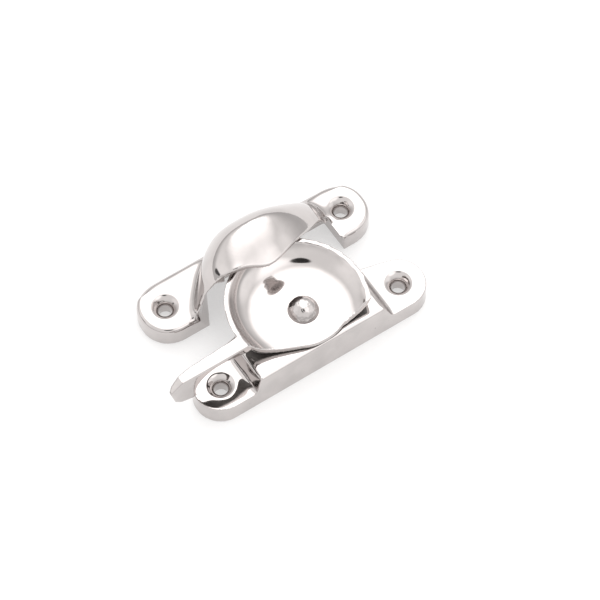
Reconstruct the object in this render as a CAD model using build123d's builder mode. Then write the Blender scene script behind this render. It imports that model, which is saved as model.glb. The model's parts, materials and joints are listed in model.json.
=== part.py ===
from build123d import *
import os

os.makedirs("parts", exist_ok=True)

# Two-piece sash window fastener: a rotating cup with a thumb lever on one plate,
# and a hooded keep on a second plate behind it.
# Frame: origin midway between the lock base's screw holes, on the mounting face.
# X runs along both plates, Y from the lock base to the keep, Z up off the sash rail.

# Screws and plates (mm)
hole_spacing = 55.0
screw_hole_r = 1.85
countersink_r = 3.6
pad_height = 6.0
draft_run = 0.03
pivot_y = 3.4

# Lock base
base_end_r = 7.5
base_boss_r = 10.6
block_height = 11.5
block_left = -19.5
block_right = 18.2
step_run_left = 1.5
step_run_right = 2.6
step_foot_r = 1.0
base_edge_r = 0.5
pocket_length = 30.0
pocket_width = 13.0
pocket_depth = 6.0
pocket_y = 2.9
bore_r = 2.55

# Cup and lever
running_gap = 0.25
foot_z = block_height + running_gap
floor_z = 13.4
foot_r = 9.8
bowl_x = -0.6
bowl_y = 3.7
rim_fall_x = 0.055
rim_rise_y = 0.05
rim_base_z = 17.15
lever_top_z = 18.6
lever_front_y = -0.4
lever_root_x = -18.9
lever_root_width = 4.0
lever_tip_width = 2.5
lever_tip_x = -42.2

# Rivet and washers
rivet_r = 2.5
head_r = 4.1
head_rise = 3.1
head_sphere_r = (head_r**2 + head_rise**2) / (2 * head_rise)
washer_r = 5.4
washer_gap = 0.1
spring_thickness = 0.5
spring_rise = 0.6
backing_thickness = 0.8
spring_z = pocket_depth - washer_gap - spring_thickness - spring_rise
backing_z = spring_z - backing_thickness
tail_r = 3.6
tail_thickness = 1.1

# Keep
keep_y = 27.5
keep_x = 0.3
keep_length = 69.4
keep_width = 16.6
keep_end_r = 7.9
keep_edge_r = 0.9
hood_foot_z = 3.0
hood_back_y = 35.0
hollow_front_y = 5.0
hollow_back_y = 29.0
brow_bulge = 0.4

holes = [(-hole_spacing / 2, 0), (hole_spacing / 2, 0)]
pivot_axis = Axis((0, pivot_y, 0), (0, 0, 1))
cup_plane = Plane(origin=(0, pivot_y, 0), x_dir=(1, 0, 0), z_dir=(0, -1, 0))
bowl_axis = Axis((bowl_x, bowl_y, 0), (0, 0, 1))
bowl_plane = Plane(origin=(bowl_x, bowl_y, 0), x_dir=(1, 0, 0), z_dir=(0, -1, 0))


def side_cut(points, reach=30):
    """Cut a closed X-Z outline right through the part along Y."""
    with BuildSketch(Plane.XZ) as outline:
        with BuildLine():
            Polyline(*points, close=True)
        make_face()
    extrude(outline.sketch, amount=reach, both=True, mode=Mode.SUBTRACT)


# ---------------------------------------------------------------- lock base
with BuildPart() as lock_base:
    for height in (0, block_height):
        shrink = height * draft_run
        with BuildSketch(Plane.XY.offset(height)):
            with Locations(*holes):
                Circle(base_end_r - shrink)
            with Locations((0, pivot_y)):
                Circle(base_boss_r - shrink)
            make_hull()
    loft(ruled=True)

    # Sloped steps down from the raised block to the two screw pads
    for top_x, run, far_x in ((block_left, -step_run_left, -50), (block_right, step_run_right, 50)):
        side_cut([
            (far_x, pad_height),
            (top_x + run, pad_height),
            (top_x, block_height),
            (top_x, block_height + 5),
            (far_x, block_height + 5),
        ])
    step_feet = lock_base.edges().filter_by(Axis.Y).filter_by_position(Axis.Z, pad_height - 0.1, pad_height + 0.1)
    fillet(step_feet, step_foot_r)
    top_face = lock_base.faces().sort_by(Axis.Z)[-1]
    fillet(top_face.edges(), base_edge_r)

    # The block's back corner is cut away behind the lever
    with BuildSketch(Plane.XY.offset(pad_height)):
        with BuildLine():
            Polyline((-24.0, 5.5), (block_left, 5.5), (-15.5, 12.0), (-24.0, 12.0), close=True)
        make_face()
    extrude(amount=block_height, mode=Mode.SUBTRACT)

    with Locations(*[(x, y, pad_height) for x, y in holes]):
        CounterSinkHole(screw_hole_r, countersink_r, counter_sink_angle=90)
    with BuildSketch():
        with Locations((0, pocket_y)):
            SlotOverall(pocket_length, pocket_width)
    extrude(amount=pocket_depth, mode=Mode.SUBTRACT)
    with Locations((0, pivot_y, block_height)):
        Hole(bore_r)
lock_base.part.label = "lock_base"
export_step(lock_base.part, "parts/lock_base.step")

# ---------------------------------------------------------------- cup with its thumb lever
with BuildPart() as cam_lever:
    # The bowl's own centre is off the pivot, so the rim tightens under the hood as it turns
    with BuildSketch(bowl_plane):
        with BuildLine():
            Line((0, foot_z), (foot_r, foot_z))
            Spline((foot_r, foot_z), (14.4, 12.4), (16.8, 13.7), (18.1, 15.6), (19.1, 17.4), (19.7, 18.8))
            Polyline((19.7, 18.8), (20.1, 20.2), (18.6, 20.2), (18.2, 18.8))
            Spline((18.2, 18.8), (17.4, 17.0), (16.2, 15.6), (14.5, 14.4), (12.3, 13.6), (9.8, 13.2))
            Line((9.8, 13.2), (0, floor_z))
            Line((0, floor_z), (0, foot_z))
        make_face()
    revolve(axis=bowl_axis)

    # The rim climbs towards the lever: everything above a tilted plane comes off
    rim_plane = Plane(origin=(0, 0, rim_base_z), x_dir=(1, 0, -rim_fall_x), z_dir=(rim_fall_x, -rim_rise_y, 1))
    split(bisect_by=rim_plane, keep=Keep.BOTTOM)

    # The mouth of the cup: open at the front so that the keep can pass when unlocked
    with BuildSketch(Plane.XY.offset(foot_z - 1)):
        with BuildLine():
            Line((30, -3.2), (6.2, -5.7))
            ThreePointArc((6.2, -5.7), (0.4, -7.0), (-6.1, -5.4))
            Polyline((-6.1, -5.4), (-18.4, lever_front_y), (-30, lever_front_y), (-30, -30), (30, -30), (30, -3.2))
        make_face()
    extrude(amount=12, mode=Mode.SUBTRACT)

    # Lever: a flat arm over the pad, ending in a tab that hangs down for the thumb
    with BuildSketch(Plane.XZ.offset(-lever_front_y)):
        with BuildLine():
            Polyline(
                (lever_root_x, lever_top_z),
                (-38.6, lever_top_z),
                (lever_tip_x, lever_top_z - 2.6),
                (-41.0, 10.9),
                (-39.6, 9.4),
            )
            Spline((-39.6, 9.4), (-37.0, 8.6), (-34.6, 8.3), tangents=((1, -0.4), (1, 0)))
            Spline((-34.6, 8.3), (-33.6, 14.0), (-29.5, 16.6), (-22.5, 16.2), (lever_root_x, 15.4))
            Line((lever_root_x, 15.4), (lever_root_x, lever_top_z))
        make_face()
    extrude(amount=-lever_root_width)
    with BuildSketch(Plane.XY.offset(5)):
        with BuildLine():
            Polyline(
                (-20.4, lever_front_y + lever_root_width),
                (-35.0, lever_front_y + 3.2),
                (-38.8, lever_front_y + lever_tip_width),
                (-41.0, lever_front_y + lever_tip_width - 0.5),
                (lever_tip_x - 0.1, lever_front_y + 0.9),
                (lever_tip_x - 0.1, 8),
                (-20.4, 8),
                close=True,
            )
        make_face()
    extrude(amount=20, mode=Mode.SUBTRACT)
    with Locations((0, pivot_y, floor_z)):
        Hole(rivet_r)
cam_lever.part.label = "cam_lever"
export_step(cam_lever.part, "parts/cam_lever.step")

# ---------------------------------------------------------------- rivet, fixed in the cup
with BuildPart() as pivot_rivet:
    with BuildSketch(cup_plane):
        with BuildLine():
            Line((0, backing_z - tail_thickness), (tail_r, backing_z - tail_thickness))
            Line((tail_r, backing_z - tail_thickness), (tail_r, backing_z))
            Line((tail_r, backing_z), (rivet_r, backing_z))
            Line((rivet_r, backing_z), (rivet_r, floor_z))
            Line((rivet_r, floor_z), (head_r, floor_z))
            RadiusArc((head_r, floor_z), (0, floor_z + head_rise), -head_sphere_r)
            Line((0, floor_z + head_rise), (0, backing_z - tail_thickness))
        make_face()
    revolve(axis=pivot_axis)
pivot_rivet.part.label = "pivot_rivet"
export_step(pivot_rivet.part, "parts/pivot_rivet.step")

# ---------------------------------------------------------------- washers under the lock base
with BuildPart() as spring_washer:
    with BuildSketch(cup_plane):
        with BuildLine():
            Polyline(
                (rivet_r, spring_z + spring_rise),
                (washer_r, spring_z),
                (washer_r, spring_z + spring_thickness),
                (rivet_r, spring_z + spring_rise + spring_thickness),
                close=True,
            )
        make_face()
    revolve(axis=pivot_axis)
spring_washer.part.label = "spring_washer"
export_step(spring_washer.part, "parts/spring_washer.step")

with BuildPart() as backing_washer:
    with BuildSketch(Plane.XY.offset(backing_z)):
        with Locations((0, pivot_y)):
            Circle(washer_r)
            Circle(rivet_r, mode=Mode.SUBTRACT)
    extrude(amount=backing_thickness)
backing_washer.part.label = "backing_washer"
export_step(backing_washer.part, "parts/backing_washer.step")

# ---------------------------------------------------------------- keep
# Stations along the hood: x, front edge y and z, crest y and z, back foot y
hood_stations = [
    (-22.6, 20.0, 5.0, 20.8, 5.3, 22.0),
    (-20.6, 20.2, 8.8, 21.4, 9.2, 23.8),
    (-18.0, 20.8, 14.0, 22.6, 14.6, 26.4),
    (-15.0, 19.9, 19.3, 24.2, 19.6, 29.6),
    (-11.5, 18.7, 21.7, 26.0, 22.2, 32.6),
    (-7.6, 17.7, 22.0, 27.0, 23.9, 34.6),
    (-3.2, 15.6, 21.5, 27.3, 24.9, hood_back_y),
    (3.0, 16.4, 21.4, 27.3, 24.7, hood_back_y),
    (9.0, 19.0, 19.6, 27.3, 21.8, hood_back_y),
    (15.0, 21.8, 16.0, 27.3, 17.0, hood_back_y),
    (20.0, 24.2, 10.8, 27.6, 11.4, hood_back_y),
    (24.5, 26.4, 5.0, 28.0, 5.4, hood_back_y),
]
# The hollow below it, in the same terms, starting just ahead of the hood's front edge
hollow_stations = [
    (-13.4, 18.2, 19.6, 24.0, 19.3, hollow_back_y),
    (-7.6, 16.9, 20.2, 25.0, 21.6, hollow_back_y),
    (-3.2, 14.8, 20.1, 25.2, 22.9, hollow_back_y),
    (3.0, 15.6, 20.0, 25.2, 22.7, hollow_back_y),
    (9.0, 18.2, 18.1, 25.2, 19.9, hollow_back_y),
    (15.0, 21.0, 14.4, 25.6, 15.1, hollow_back_y),
    (20.0, 23.4, 9.2, 26.4, 9.6, hollow_back_y),
    (23.4, 25.2, 5.4, 27.0, 5.8, hollow_back_y),
]


def arch_section(station, foot_z, open_to_y=None):
    """Section across the keep below one stretch of arch, open to the front where open_to_y is given."""
    x, front_y, front_z, crest_y, crest_z, back_y = station
    brow = ((front_y + crest_y) / 2, (front_z + crest_z) / 2 + brow_bulge)
    shoulder = (crest_y + 0.38 * (back_y - crest_y), foot_z + 0.88 * (crest_z - foot_z))
    front_corners = [(front_y, foot_z)]
    if open_to_y is not None:
        front_corners = [(open_to_y, foot_z), (open_to_y, front_z)]
    with BuildSketch(Plane.YZ.offset(x)) as section:
        with BuildLine():
            ThreePointArc((front_y, front_z), brow, (crest_y, crest_z))
            Spline((crest_y, crest_z), shoulder, (back_y, foot_z + 1))
            Polyline((back_y, foot_z + 1), (back_y, foot_z), *front_corners, (front_y, front_z))
        make_face()
    return section.sketch


with BuildPart() as keep_body:
    with BuildSketch():
        with Locations((keep_x, keep_y)):
            RectangleRounded(keep_length, keep_width, keep_end_r)
    extrude(amount=pad_height)
    fillet(keep_body.faces().sort_by(Axis.Z)[-1].edges(), keep_edge_r)

    loft(sections=[arch_section(station, hood_foot_z) for station in hood_stations])
    loft(sections=[arch_section(station, -1, hollow_front_y) for station in hollow_stations], mode=Mode.SUBTRACT)

    # The left end of the hollow leans out under the hood's leg
    with BuildSketch(Plane.XZ.offset(-hollow_front_y)):
        with BuildLine():
            Polyline((-24.7, -1), (-35.0, 6.3), (-29.0, 13.1), (-22.0, 19.0), (-10, 19.0), (-10, -1), close=True)
        make_face()
    with BuildSketch(Plane.XZ.offset(-hollow_back_y)):
        with BuildLine():
            Polyline((-13.6, -1), (-13.5, 6.3), (-13.2, 13.1), (-12.0, 16.0), (-10, 16.0), (-10, -1), close=True)
        make_face()
    loft(ruled=True, mode=Mode.SUBTRACT)

    with Locations(*[(keep_x + x, keep_y, pad_height) for x, y in holes]):
        CounterSinkHole(screw_hole_r, countersink_r, counter_sink_angle=90)
keep_body.part.label = "keep"
export_step(keep_body.part, "parts/keep.step")
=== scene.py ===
import json
import math

import bmesh
import bpy
import numpy as np
from mathutils import Matrix, Vector


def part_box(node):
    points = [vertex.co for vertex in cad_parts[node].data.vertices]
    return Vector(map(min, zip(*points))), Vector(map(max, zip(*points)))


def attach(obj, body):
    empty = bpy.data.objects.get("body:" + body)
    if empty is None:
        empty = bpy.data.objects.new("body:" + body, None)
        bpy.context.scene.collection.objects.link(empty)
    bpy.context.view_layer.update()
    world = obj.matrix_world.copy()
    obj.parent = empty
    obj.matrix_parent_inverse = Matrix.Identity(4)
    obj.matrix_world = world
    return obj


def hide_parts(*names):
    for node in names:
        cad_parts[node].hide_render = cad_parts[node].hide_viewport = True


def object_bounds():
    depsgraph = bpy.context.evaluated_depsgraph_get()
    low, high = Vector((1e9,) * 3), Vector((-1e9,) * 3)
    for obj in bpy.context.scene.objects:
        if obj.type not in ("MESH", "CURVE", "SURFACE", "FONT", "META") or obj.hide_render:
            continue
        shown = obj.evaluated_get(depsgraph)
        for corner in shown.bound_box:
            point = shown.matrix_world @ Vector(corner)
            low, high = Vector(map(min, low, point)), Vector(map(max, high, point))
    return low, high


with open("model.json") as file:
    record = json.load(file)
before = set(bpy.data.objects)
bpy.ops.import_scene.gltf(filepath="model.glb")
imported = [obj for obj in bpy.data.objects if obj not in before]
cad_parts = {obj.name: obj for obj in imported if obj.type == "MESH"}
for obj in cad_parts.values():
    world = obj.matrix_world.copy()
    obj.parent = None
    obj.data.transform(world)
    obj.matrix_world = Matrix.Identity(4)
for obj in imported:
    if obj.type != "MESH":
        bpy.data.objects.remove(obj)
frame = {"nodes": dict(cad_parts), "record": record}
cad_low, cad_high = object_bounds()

# Polished chrome sash window fastener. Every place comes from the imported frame, in metres.
MM = 0.001

# Screw holes, from the record
mounts = {m["name"]: m for m in frame["record"]["mounts"]}
half_spacing = mounts["base_screws"]["dims"]["spacing_x_mm"] * MM / 2
hole_centres = []
for mount_name in ("base_screws", "keep_screws"):
    centre = Vector(mounts[mount_name]["pos_m"])
    hole_centres.append(centre - Vector((half_spacing, 0, 0)))
    hole_centres.append(centre + Vector((half_spacing, 0, 0)))

PAD_TOP = hole_centres[0].z

# Finish of the castings, with a dark rough tone that also serves as painted shade on the undersides of
# the cup and lever
COUNTERSINK_RADIUS = 3.75 * MM
CHROME = (0.59, 0.558, 0.548)
# Dark rough cast metal for the plates' backs. It is also laid on the cup's and lever's undersides as
# painted shade, which the pads then mirror as dark strips.
BARE_CAST_AND_UNDERSIDE_SHADE = (0.20, 0.195, 0.19)
DRILLED = (0.36, 0.34, 0.33)
STEEL = (0.42, 0.41, 0.40)

# Where the hood's two ends run out onto the keep's plate: a line of points along each foot, in mm
HOOD_FEET = [
    [(-22, 20.5), (-21, 23), (-18, 26.4), (-15, 29.6), (-11.5, 32.6), (-8, 34.5)],
    [(24, 27), (24.5, 31), (24.5, 34)],
]
FOOT_REACH = 2.6

# Mesh spacing in mm, and how many smoothing passes each part of the castings gets
VOXEL = 0.25
EDGE_ROUNDING_PASSES = 8
EDGE_MARGIN_PASSES = 14
BROAD_FACE_PASSES = 60
HOOD_PASSES = 140
FILLET_PASSES = 150

# Camera: a long lens from the lever's side, high above the rail
CAMERA_AZIMUTH = math.radians(-33.35)
CAMERA_ELEVATION = math.radians(60)
CAMERA_DISTANCE = 0.7
CAMERA_LENS = 159.8
CAMERA_TARGET = Vector((5.12, 12.71, 0)) * MM


# ---------------------------------------------------------------- shader helpers
class Graph:
    """A node tree with short calls for adding and joining nodes."""

    def __init__(self, tree):
        self.tree = tree

    def add(self, kind, inputs=None, **settings):
        """Add a node, set its options, and fill its inputs with values or other sockets."""
        node = self.tree.nodes.new(kind)
        for key, value in settings.items():
            setattr(node, key, value)
        for key, value in (inputs or {}).items():
            if isinstance(value, bpy.types.NodeSocket):
                self.tree.links.new(value, node.inputs[key])
            else:
                node.inputs[key].default_value = value
        return node

    def math(self, operation, first, second=0.0):
        return self.add("ShaderNodeMath", {0: first, 1: second}, operation=operation).outputs[0]

    def noise(self, vector, scale, detail=3.0, roughness=0.5):
        inputs = {"Vector": vector, "Scale": scale, "Detail": detail, "Roughness": roughness}
        return self.add("ShaderNodeTexNoise", inputs).outputs["Fac"]

    def remap(self, value, low, high, to_low, to_high):
        """Map a value from one range to another with a soft start and end."""
        inputs = {0: value, 1: low, 2: high, 3: to_low, 4: to_high}
        return self.add("ShaderNodeMapRange", inputs, interpolation_type="SMOOTHSTEP").outputs[0]

    def ramp_color(self, value, low_color, high_color):
        node = self.add("ShaderNodeMix", {"Factor": value}, data_type="RGBA")
        node.inputs["A"].default_value = (*low_color, 1)
        node.inputs["B"].default_value = (*high_color, 1)
        return node.outputs["Result"]

    def stretched(self, vector, scale):
        """Coordinates stretched along an axis, for scratches that all run one way."""
        return self.add("ShaderNodeVectorMath", {0: vector, 1: scale}, operation="MULTIPLY").outputs[0]


def metal(name, color, roughness, haze, bumps, specks=0.0):
    """Metal with uneven colour and polish. bumps lists (height socket maker, depth in metres)."""
    material = bpy.data.materials.new(name)
    material.use_nodes = True
    g = Graph(material.node_tree)
    shader = material.node_tree.nodes["Principled BSDF"]
    shader.inputs["Metallic"].default_value = 1.0
    place = g.add("ShaderNodeTexCoord").outputs["Object"]

    dark = tuple(0.90 * c for c in color)
    patches = g.remap(g.noise(place, 120.0), 0.35, 0.65, 0.0, 1.0)
    tint = g.ramp_color(patches, dark, color)
    if specks:
        cells = g.add("ShaderNodeTexVoronoi", {"Vector": place, "Scale": 330.0, "Randomness": 1.0})
        spots = g.remap(cells.outputs["Distance"], specks * 0.5, specks, 1.0, 0.0)
        few = g.remap(g.noise(place, 90.0), 0.60, 0.66, 0.0, 1.0)
        speck_mask = g.math("MULTIPLY", spots, few)
        darken = g.add("ShaderNodeMix", {"Factor": speck_mask, "A": tint}, data_type="RGBA")
        darken.inputs["B"].default_value = (*(0.25 * c for c in color), 1)
        tint = darken.outputs["Result"]
    material.node_tree.links.new(tint, shader.inputs["Base Color"])

    smears = g.noise(g.stretched(place, (60.0, 260.0, 160.0)), 1.0, detail=5.0)
    rough = g.remap(smears, 0.3, 0.75, roughness, roughness + haze)
    material.node_tree.links.new(rough, shader.inputs["Roughness"])

    normal = None
    for height_of, depth in bumps:
        inputs = {"Height": height_of(g, place), "Distance": depth, "Strength": 1.0}
        if normal is not None:
            inputs["Normal"] = normal
        normal = g.add("ShaderNodeBump", inputs).outputs["Normal"]
    material.node_tree.links.new(normal, shader.inputs["Normal"])
    return material


def polishing_waves(g, place):
    return g.noise(place, 260.0, detail=1.0)


def fine_scratches(g, place):
    along = g.noise(g.stretched(place, (700.0, 9000.0, 4000.0)), 1.0, detail=2.0)
    across = g.noise(g.stretched(place, (8000.0, 900.0, 3000.0)), 1.0, detail=2.0)
    return g.math("ADD", along, across)


def cast_grain(g, place):
    return g.noise(place, 2600.0, detail=6.0, roughness=0.65)


def turning_rings(g, place):
    inputs = {"Vector": place, "Scale": 420.0, "Distortion": 0.6, "Detail": 1.0}
    return g.add("ShaderNodeTexWave", inputs, wave_type="BANDS", bands_direction="Z").outputs["Fac"]


def peened_dimples(g, place):
    inputs = {"Vector": place, "Scale": 1300.0, "Randomness": 0.8}
    return g.add("ShaderNodeTexVoronoi", inputs, feature="SMOOTH_F1").outputs["Distance"]


chrome_bumps = [(polishing_waves, 0.02 * MM), (fine_scratches, 0.0006 * MM)]
chrome = metal("polished_chrome", CHROME, 0.035, 0.05, chrome_bumps, specks=0.07)
drilled = metal("drilled_countersink", DRILLED, 0.10, 0.10, [(turning_rings, 0.05 * MM)])
# The backs' rough cast metal, also used as painted shade on the cup's and lever's undersides
cast_back_and_underside_shade = metal("rough_cast_back_and_painted_underside_shade", BARE_CAST_AND_UNDERSIDE_SHADE, 0.42, 0.2, [(cast_grain, 0.05 * MM)])
rivet_finish = metal("peened_rivet", CHROME, 0.10, 0.10, [(peened_dimples, 0.10 * MM)], specks=0.10)
washer_steel = metal("washer_steel", STEEL, 0.28, 0.15, [(fine_scratches, 0.002 * MM)])


# ---------------------------------------------------------------- castings
def new_object(name, mesh):
    thing = bpy.data.objects.new(name, mesh)
    bpy.context.scene.collection.objects.link(thing)
    return thing


def remeshed(node, voxel_mm, smooth_passes):
    """A close, even mesh over a CAD node's surface, its edges softly rounded as by polishing."""
    work = bmesh.new()
    work.from_mesh(frame["nodes"][node].data)
    bmesh.ops.remove_doubles(work, verts=work.verts, dist=1e-7)
    mesh = bpy.data.meshes.new(node + "_work")
    work.to_mesh(mesh)
    work.free()
    mesh.transform(Matrix.Scale(1 / MM, 4))
    thing = new_object(node + "_work", mesh)
    remesh = thing.modifiers.new("even", "REMESH")
    remesh.mode = "VOXEL"
    remesh.voxel_size = voxel_mm
    smooth = thing.modifiers.new("polish", "SMOOTH")
    smooth.factor = 0.5
    smooth.iterations = smooth_passes
    depsgraph = bpy.context.evaluated_depsgraph_get()
    made = bpy.data.meshes.new_from_object(thing.evaluated_get(depsgraph))
    bpy.data.objects.remove(thing)
    made.transform(Matrix.Scale(MM, 4))
    return made


def read_vectors(items, attribute):
    flat = np.zeros(len(items) * 3, np.float32)
    items.foreach_get(attribute, flat)
    return flat.reshape(-1, 3).astype(float)


def neighbour_mean(values, pairs, degree):
    """Mean of each vertex's neighbours, column by column."""
    first, second = pairs[:, 0], pairs[:, 1]
    count = len(values)
    columns = []
    for column in values.T:
        total = np.bincount(first, column[second], count) + np.bincount(second, column[first], count)
        columns.append(total / degree)
    return np.stack(columns, axis=1)


def broad_face_weight(normals, pairs, degree):
    """1 on broad faces, falling to 0 near edges, where a vertex's normal differs from its neighbours'."""
    bend = np.linalg.norm(normals - neighbour_mean(normals, pairs, degree), axis=1)
    flatness = np.clip((0.05 - bend) / 0.03, 0, 1)[:, None]
    for _ in range(EDGE_MARGIN_PASSES):
        flatness = neighbour_mean(flatness, pairs, degree)
    return np.clip((flatness[:, 0] - 0.7) / 0.3, 0, 1)


def relax(mesh, passes, region, keep_edges):
    """Move each vertex towards its neighbours' mean, by the weight that region gives its place."""
    pairs = np.zeros(len(mesh.edges) * 2, np.int32)
    mesh.edges.foreach_get("vertices", pairs)
    pairs = pairs.reshape(-1, 2)
    places = read_vectors(mesh.vertices, "co")
    degree = np.maximum(np.bincount(pairs.ravel(), minlength=len(places)), 1)
    weight = region(places)
    if keep_edges:
        weight = weight * broad_face_weight(read_vectors(mesh.vertices, "normal"), pairs, degree)
    weight = 0.5 * weight[:, None]
    for _ in range(passes):
        places += weight * (neighbour_mean(places, pairs, degree) - places)
    mesh.vertices.foreach_set("co", places.astype(np.float32).ravel())
    mesh.update()


def fade(values, empty, full):
    """0 at one value in mm, 1 at the other, and straight in between."""
    return np.clip((values - empty * MM) / ((full - empty) * MM), 0, 1)


def everywhere(places):
    return np.ones(len(places))


def above_plates(places):
    return fade(places[:, 2], 7.5, 9.0)


def hood_feet(places):
    """The corners where the hood's ends meet the plate, clear of the screw holes."""
    nearest = np.full(len(places), 1.0)
    for foot in HOOD_FEET:
        for start, end in zip(foot, foot[1:]):
            start, end = np.array(start) * MM, np.array(end) * MM
            run = end - start
            along = np.clip((places[:, :2] - start) @ run / (run @ run), 0, 1)
            gap = places[:, :2] - start - along[:, None] * run
            nearest = np.minimum(nearest, np.linalg.norm(gap, axis=1))
    height = places[:, 2]
    return fade(nearest, FOOT_REACH, FOOT_REACH - 1.2) * fade(height, 5.0, 5.8) * fade(height, 10.0, 7.0)


def keep_back_edge(places):
    """The keep's long top edge behind the hood, which is rounded more than the rest."""
    past = fade(places[:, 1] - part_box("keep")[1].y, -2.4, -1.6)
    return past * fade(places[:, 2], 3.2, 4.0) * (places[:, 2] < 8 * MM)


def finish_faces(mesh, materials, choose):
    """Smooth shading, and a material for each face by its centre and normal."""
    for material in materials:
        mesh.materials.append(material)
    index = choose(read_vectors(mesh.polygons, "center"), read_vectors(mesh.polygons, "normal"))
    mesh.polygons.foreach_set("material_index", index.astype(np.int32))
    mesh.polygons.foreach_set("use_smooth", np.ones(len(index), bool))
    mesh.update()


def casting_faces(centres, normals):
    """0 polished, 1 inside a countersink, 2 the rough back that lies on the sash."""
    index = np.zeros(len(centres))
    index[(normals[:, 2] < -0.75) & (centres[:, 2] < PAD_TOP + 0.2 * MM)] = 2
    for hole in hole_centres:
        near = np.hypot(centres[:, 0] - hole.x, centres[:, 1] - hole.y) < COUNTERSINK_RADIUS
        index[near & (centres[:, 2] < PAD_TOP - 0.3 * MM) & (normals[:, 2] > -0.75)] = 1
    return index


def cup_faces(centres, normals):
    """0 polished, 2 the undersides of the cup and lever, painted as shade with the dark rough cast metal.
    """
    return np.where(normals[:, 2] < -0.6, 2, 0)


castings = [
    ("lock_base", "base_casting", "base", "base_chrome", casting_faces),
    ("keep", "keep_casting", "keeper", "keep_chrome", casting_faces),
    ("cam_lever", "cup_and_lever", "cam", "cam_chrome", cup_faces),
]
for node, name, body, finish_slot, choose in castings:
    surface = remeshed(node, VOXEL, EDGE_ROUNDING_PASSES)
    relax(surface, BROAD_FACE_PASSES, everywhere, keep_edges=True)
    if node == "keep":
        relax(surface, HOOD_PASSES, above_plates, keep_edges=True)
        relax(surface, FILLET_PASSES, hood_feet, keep_edges=False)
        relax(surface, FILLET_PASSES, keep_back_edge, keep_edges=False)
    piece = new_object(name, surface)
    # Slot 2 is the rough cast back of the plates, and painted shade on the cup's and lever's undersides
    finish_faces(piece.data, [chrome, drilled, cast_back_and_underside_shade], choose)
    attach(piece, body)
    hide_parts(node)


# ---------------------------------------------------------------- carried-over CAD pieces
def refinish(node, material):
    thing = frame["nodes"][node]
    thing.data.materials.clear()
    thing.data.materials.append(material)
    for face in thing.data.polygons:
        face.use_smooth = True
        face.material_index = 0


refinish("pivot_rivet", rivet_finish)
refinish("spring_washer", washer_steel)
refinish("backing_washer", washer_steel)


# ---------------------------------------------------------------- floor, light and camera
def make_floor():
    mesh = bpy.data.meshes.new("floor")
    reach = 1.5
    corners = [(-reach, -reach, 0), (reach, -reach, 0), (reach, reach, 0), (-reach, reach, 0)]
    mesh.from_pydata(corners, [], [(0, 1, 2, 3)])
    floor = new_object("floor", mesh)
    floor.location.z = cad_low.z - 0.05 * MM
    material = bpy.data.materials.new("pale_floor")
    material.use_nodes = True
    g = Graph(material.node_tree)
    shader = material.node_tree.nodes["Principled BSDF"]
    shader.inputs["Roughness"].default_value = 0.9
    place = g.add("ShaderNodeTexCoord").outputs["Object"]
    paper = g.ramp_color(g.noise(place, 900.0), (0.44, 0.44, 0.44), (0.46, 0.46, 0.46))
    material.node_tree.links.new(paper, shader.inputs["Base Color"])
    shader.inputs["Emission Color"].default_value = (1, 0.99, 0.985, 1)
    shader.inputs["Emission Strength"].default_value = 0.52
    mesh.materials.append(material)


def direction(azimuth, elevation):
    """Unit vector from the object towards a point of the light tent; azimuth 0 is -Y, and 90 is +X."""
    a, e = math.radians(azimuth), math.radians(elevation)
    return Vector((math.sin(a) * math.cos(e), -math.cos(a) * math.cos(e), math.sin(e)))


# Patches of the light tent: azimuth, elevation, full and outer radius in degrees, brightness
tent_patches = [
    (90, 78, 10, 34, 1.25),
    (147, 58, 8, 40, 2.7),
    (30, 58, 5, 26, 1.9),
    (-120, 36, 8, 26, 1.3),
    (62, 30, 8, 26, 1.4),
    (-33, 69, 7, 11, 0.05),
    (-115, 14, 4, 8, 0.10),
]


def make_tent():
    """World light: a soft ceiling over a greyer horizon, with brighter panels and a few dark gaps."""
    world = bpy.data.worlds.new("light_tent")
    bpy.context.scene.world = world
    world.use_nodes = True
    g = Graph(world.node_tree)
    background = world.node_tree.nodes["Background"]
    view = g.add("ShaderNodeTexCoord").outputs["Generated"]
    height = g.add("ShaderNodeSeparateXYZ", {0: view}).outputs["Z"]
    strength = g.remap(height, 0.05, 0.55, 0.70, 1.15)
    for azimuth, elevation, core, edge, brightness in tent_patches:
        towards = direction(azimuth, elevation)
        facing = g.add("ShaderNodeVectorMath", {0: view, 1: towards}, operation="DOT_PRODUCT")
        at_edge, at_core = math.cos(math.radians(edge)), math.cos(math.radians(core))
        mask = g.remap(facing.outputs["Value"], at_edge, at_core, 0.0, 1.0)
        change = g.math("MULTIPLY", mask, g.math("SUBTRACT", brightness, strength))
        strength = g.math("ADD", strength, change)
    world.node_tree.links.new(strength, background.inputs["Strength"])
    background.inputs["Color"].default_value = (1.0, 0.99, 0.985, 1)


def make_camera():
    data = bpy.data.cameras.new("camera")
    data.lens = CAMERA_LENS
    data.clip_start = 0.01
    camera = bpy.data.objects.new("camera", data)
    bpy.context.scene.collection.objects.link(camera)
    towards = direction(math.degrees(CAMERA_AZIMUTH), math.degrees(CAMERA_ELEVATION))
    camera.location = CAMERA_TARGET + towards * CAMERA_DISTANCE
    camera.rotation_mode = "QUATERNION"
    camera.rotation_quaternion = (-towards).to_track_quat("-Z", "Y")
    bpy.context.scene.camera = camera


make_floor()
make_tent()
make_camera()
bpy.context.scene.view_settings.view_transform = "Standard"
